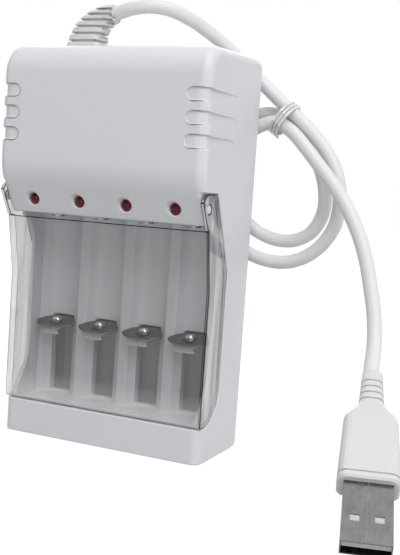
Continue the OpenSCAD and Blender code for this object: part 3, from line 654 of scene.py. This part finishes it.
class CHARGER_OT_casing(bpy.types.Operator):
    """Front housing, rear cover and its screws"""
    bl_idname = "charger.casing"
    bl_label = "Casing"

    def execute(self, context):
        edge = context.scene.charger_sizes.casing_edge
        colours = context.scene.charger_colours
        white = moulded_abs(colours.abs)
        left, right = (corner.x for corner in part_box("front_housing"))
        crisp = [((left, y[0], z[0]), (right, y[1], z[1])) for y, z in CRISP_ZONES]
        around = Vector((LAMP_MARGIN, LAMP_MARGIN, LAMP_MARGIN))
        for i in BAYS:
            low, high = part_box(f"led_{i}")
            crisp.append((low - around, high + around))
        dressed("front_housing", "casing_front", white, edge, crisp=crisp, split=right - RECESS_DEPTH)
        dressed("rear_cover", "casing_rear", white, edge)
        paint("case_screws", zinc_screw(colours.zinc))
        return {"FINISHED"}


class CHARGER_OT_cover(bpy.types.Operator):
    """Clear flip cover"""
    bl_idname = "charger.cover"
    bl_label = "Clear cover"

    def execute(self, context):
        edge = context.scene.charger_sizes.cover_edge
        colours = context.scene.charger_colours
        sheen = colours.sheen
        low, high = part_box("clear_cover")
        sheet = clear_polycarbonate("Clear polycarbonate", colours.clear, sheen, low.z)
        cover = dressed("clear_cover", "flip_cover", sheet, edge)
        for finish in (
            # Edge and corner finishes: grey tints as painted shade
            clear_polycarbonate("Polycarbonate edge in painted shade", colours.cut, sheen, low.z, frost=0.4),
            clear_polycarbonate("Polycarbonate corner in painted shade", colours.corner, sheen, low.z, polish=0.1),
            clear_polycarbonate("Polycarbonate flap", colours.clear, sheen, low.z, frost=0.12, streaks=0.45),
        ):
            cover.data.materials.append(finish)
        cover.modifiers["Rounded edges"].material = CORNER_SLOT
        slots = [cover_slot(cover.data, face, high.x - FLAP_DEPTH) for face in cover.data.polygons]
        cover.data.polygons.foreach_set("material_index", slots)
        return {"FINISHED"}


class CHARGER_OT_lamps(bpy.types.Operator):
    """Four red lamps"""
    bl_idname = "charger.lamps"
    bl_label = "Lamps"

    def execute(self, context):
        colours = context.scene.charger_colours
        red = lens_with_painted_rim_light(colours.lens, colours.rim)
        for i in BAYS:
            lamp = dressed(f"led_{i}", f"lamp_{i}", red, 0)
            low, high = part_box(f"led_{i}")
            centre = (low + high) / 2
            points = np.empty(len(lamp.data.vertices) * 3)
            lamp.data.vertices.foreach_get("co", points)
            away = points.reshape(-1, 3)[:, [0, 2]] - np.array([centre.x, centre.z])
            # The rim attribute says where the painted rim light lies
            rim = lamp.data.attributes.new("rim", "FLOAT", "POINT")
            rim.data.foreach_set("value", np.linalg.norm(away, axis=1) / (high.x - centre.x))
        return {"FINISHED"}


class CHARGER_OT_contacts(bpy.types.Operator):
    """Sliding and fixed contacts, springs and bus bar"""
    bl_idname = "charger.contacts"
    bl_label = "Contacts"

    def execute(self, context):
        edge = context.scene.charger_sizes.metal_edge
        colours = context.scene.charger_colours
        low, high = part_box("slider_contact_1")
        dimple = Vector(((low.x + high.x) / 2, low.y + DIMPLE_BACK, 0))
        # Sliding contacts: painted shade on the flat, and painted highlights on the dimple and the curled lip
        painted_light = nickel_with_painted_light(colours.painted_shade_nickel, colours.nickel, dimple, low.z + LIP_DEPTH)
        nickel = nickel_plate("Nickel-plated steel", colours.button, dull=0.3)
        wire = drawn_wire(colours.wire)
        for i in BAYS:
            dressed(f"slider_contact_{i}", f"slider_{i}", painted_light, edge)
            dressed(f"positive_contact_{i}", f"button_contact_{i}", nickel, edge)
            paint(f"slider_spring_{i}", wire)
        paint("negative_bus", brass_strip(colours.brass))
        return {"FINISHED"}


class CHARGER_OT_boot(bpy.types.Operator):
    """Slotted strain relief"""
    bl_idname = "charger.boot"
    bl_label = "Strain relief"

    def execute(self, context):
        pvc = soft_pvc("Moulded white PVC", context.scene.charger_colours.moulding)
        dressed("strain_relief", "cord_boot", pvc, context.scene.charger_sizes.boot_edge)
        return {"FINISHED"}


class CHARGER_OT_plug(bpy.types.Operator):
    """Moulding, shell, tongue and contacts of the plug"""
    bl_idname = "charger.plug"
    bl_label = "Plug"

    def execute(self, context):
        colours = context.scene.charger_colours
        paint("plug_overmould", soft_pvc("Moulded white PVC", colours.moulding))
        paint("plug_shell", nickel_plate("Brushed plug shell", colours.shell, dull=0.42))
        paint("plug_tongue", dull_plastic("Moulded tongue", colours.tongue, 0.6))
        paint("plug_contacts", brass_strip(colours.brass))
        return {"FINISHED"}


class CHARGER_OT_inside(bpy.types.Operator):
    """Circuit board, its screws and what is on it"""
    bl_idname = "charger.inside"
    bl_label = "Inside"

    def execute(self, context):
        for node, name, code, size in INSIDE:
            paint(node, dull_plastic(name, linear(code), size))
        paint("board_screws", zinc_screw(context.scene.charger_colours.zinc))
        return {"FINISHED"}


OPERATORS = (
    CHARGER_OT_stage, CHARGER_OT_cord, CHARGER_OT_casing, CHARGER_OT_cover, CHARGER_OT_lamps,
    CHARGER_OT_contacts, CHARGER_OT_boot, CHARGER_OT_plug, CHARGER_OT_inside,
)


class CHARGER_PT_panel(bpy.types.Panel):
    """Buttons of the charger's pieces, with its sizes and colours"""
    bl_idname = "CHARGER_PT_panel"
    bl_label = "Charger"
    bl_space_type = "VIEW_3D"
    bl_region_type = "UI"
    bl_category = "Charger"

    def draw(self, context):
        for operator in OPERATORS:
            self.layout.operator(operator.bl_idname)
        for group in (context.scene.charger_sizes, context.scene.charger_colours):
            for name in group.__annotations__:
                self.layout.prop(group, name)


CLASSES = (ChargerSizes, ChargerColours) + OPERATORS + (CHARGER_PT_panel,)


def register():
    """Makes the classes known to Blender and gives the scene its sizes and colours."""
    for kind in CLASSES:
        bpy.utils.register_class(kind)
    bpy.types.Scene.charger_sizes = PointerProperty(type=ChargerSizes)
    bpy.types.Scene.charger_colours = PointerProperty(type=ChargerColours)


def unregister():
    """Takes back what register did."""
    del bpy.types.Scene.charger_colours
    del bpy.types.Scene.charger_sizes
    for kind in reversed(CLASSES):
        bpy.utils.unregister_class(kind)


def main():
    """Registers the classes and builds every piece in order."""
    register()
    for operator in OPERATORS:
        group, name = operator.bl_idname.split(".")
        getattr(getattr(bpy.ops, group), name)()


if __name__ == "__main__":
    main()
